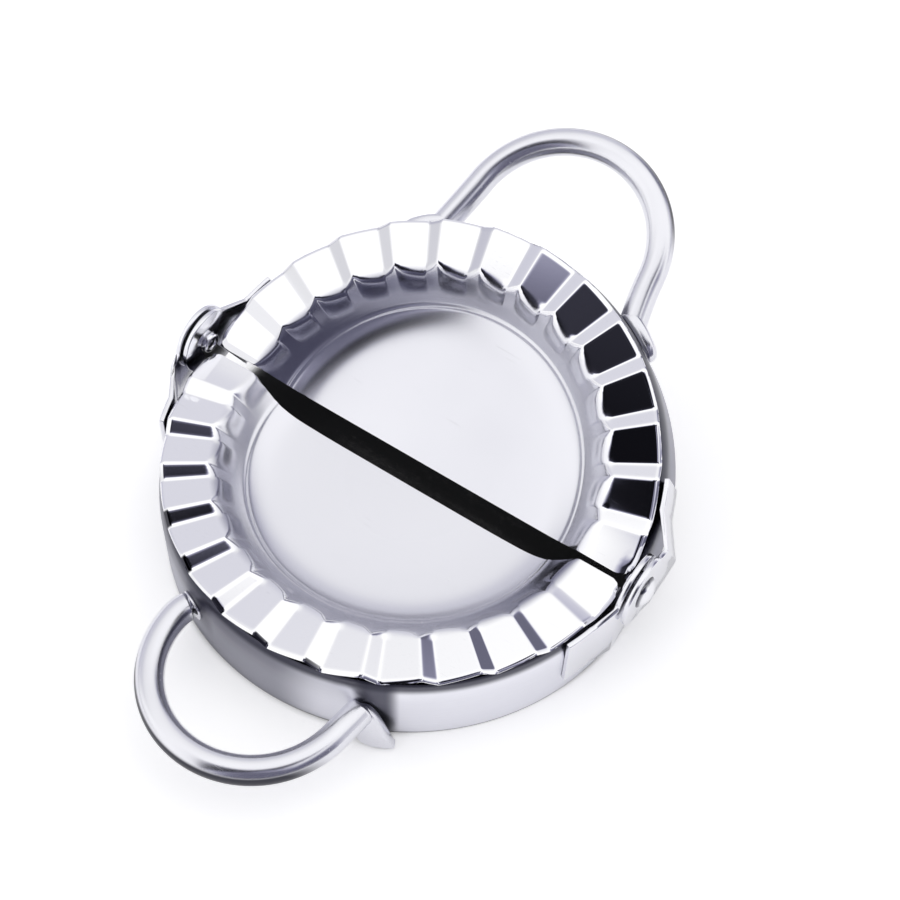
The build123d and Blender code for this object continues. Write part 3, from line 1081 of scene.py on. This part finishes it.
def make_floor():
    """A wide pale floor under the press: white paper that keeps the press's shadow.

    It is painted dark where the press covers it, and needs more cover for that beside the press.
    """
    mesh = bpy.data.meshes.new("floor")
    wide = floor_width / 2
    corners = [(-wide, -wide, 0), (wide, -wide, 0), (wide, wide, 0), (-wide, wide, 0)]
    mesh.from_pydata(corners, [], [(0, 1, 2, 3)])
    floor = bpy.data.objects.new("floor", mesh)
    bpy.context.scene.collection.objects.link(floor)
    material, made, place = new_finish("floor_paper")
    rays = made.add("ShaderNodeLightPath")
    above = made.add(
        "ShaderNodeAmbientOcclusion", {"samples": 32}, Distance=covered_within, output="AO"
    )
    spot = parts_of(made, place)
    from_middle = (spot * spot + spot.out("Y") * spot.out("Y")) ** 0.5
    beside = from_middle.step(0.0465, 0.0495)
    # Painted shade: the paper's colour and its glow go dark where the press covers it.
    open_above = above.step(0.32, 0.50).larger(above.step(0.12, 0.36) * beside)
    paper = made.mixed(open_above, paper_painted_shade, paper_white)
    paper = made.add("ShaderNodeBsdfPrincipled", None, paper, 0.0, 0.9)
    shown = rays.larger(rays.out("Is Glossy Ray")).larger(rays.out("Is Transmission Ray"))
    glow = (shown * floor_glow + rays * sight_glow) * open_above
    glow = made.add("ShaderNodeEmission", None, white, glow)
    made.add("ShaderNodeOutputMaterial", None, made.add("ShaderNodeAddShader", None, paper, glow))
    mesh.materials.append(material)


def studio_light(made):
    """How bright the studio is in each direction: white all round, with a dark opening in front.

    u (right) and v (back) are the direction laid flat, with straight up in the middle and level
    at 1 from it.
    """
    toward = parts_of(made, made.add("ShaderNodeTexCoord"))
    up = toward.out("Z").larger(0.0) + 1.0
    u = toward / up
    v = toward.out("Y") / up
    reach = (u * u + v * v) ** 0.5

    # Pale walls, with a brighter front and ceiling.
    front = (-v).step(0.02, 0.32) * (1.0 - reach.step(0.66, 0.88) * 0.5)
    overhead = (u - v * 0.6).step(-0.55, -0.05) * (1.0 - v.step(0.32, 0.62))
    pale = pale_light - reach.step(0.30, 0.56) * 0.17 - reach.step(0.6, 0.92) * 0.09
    light = pale + (white_light - pale) * front.larger(overhead)

    # Dim patches: low on the right, low in front and high at the back.
    side = u.step(0.36, 0.58) * (1.0 - v.step(0.0, 0.28))
    low = u.step(-0.14, 0.22) * (1.0 - v.step(-0.35, -0.12))
    light = light + (dim_light - light) * side.larger(low)
    far = ((u - 0.12) ** 2 + (v - 0.76) ** 2) ** 0.5
    light = light + (dim_light - light) * (1.0 - far.step(0.13, 0.29))

    # The dark opening, with a curved top and a slanting foot.
    top = u * u * 2.4 + u * 0.1 - 0.21
    foot = (u * 3.0 - 0.75).smaller(-0.22)
    opening = between(u, (-0.12, -0.05), (0.29, 0.37)) * (1.0 - (v - top).step(-0.05, 0.05))
    opening = opening * (v - foot).step(-0.06, 0.03)
    black = dark_light + (v - top).step(-0.20, -0.03) * (1.0 - u.step(0.08, 0.13)) * 0.04
    return light + (black - light) * opening


def make_world():
    """A white studio with a dark opening in front, where the photographer stands."""
    world = bpy.data.worlds.new("studio")
    bpy.context.scene.world = world
    world.use_nodes = True
    world.node_tree.nodes.clear()
    made = Tree(world.node_tree)
    light = studio_light(made)
    rays = made.add("ShaderNodeLightPath")
    shown = light + (1.0 - light) * rays  # the camera sees plain white
    colour = made.mixed(shown.step(0.1, 1.05), cool_white, white)
    made.add("ShaderNodeOutputWorld", None, made.add("ShaderNodeBackground", None, colour, shown))


def make_camera():
    """The photograph's viewpoint."""
    data = bpy.data.cameras.new("camera")
    camera = bpy.data.objects.new("camera", data)
    bpy.context.scene.collection.objects.link(camera)
    right = Vector((0.831, 0.556, 0.031)).normalized()
    ahead = Vector((-0.294, 0.485, -0.824)).normalized()
    up = right.cross(ahead).normalized()
    right = ahead.cross(up)
    turn = Matrix((right, up, -ahead)).transposed().to_4x4()
    viewpoint = (0.1029, -0.15572, 0.29295)
    camera.matrix_world = Matrix.Translation(viewpoint) @ turn
    data.lens = 69.8
    data.sensor_width = 36
    data.clip_start = 0.01
    data.clip_end = 20
    bpy.context.scene.camera = camera


make_floor()
make_world()
make_camera()
bpy.context.scene.view_settings.view_transform = "Standard"
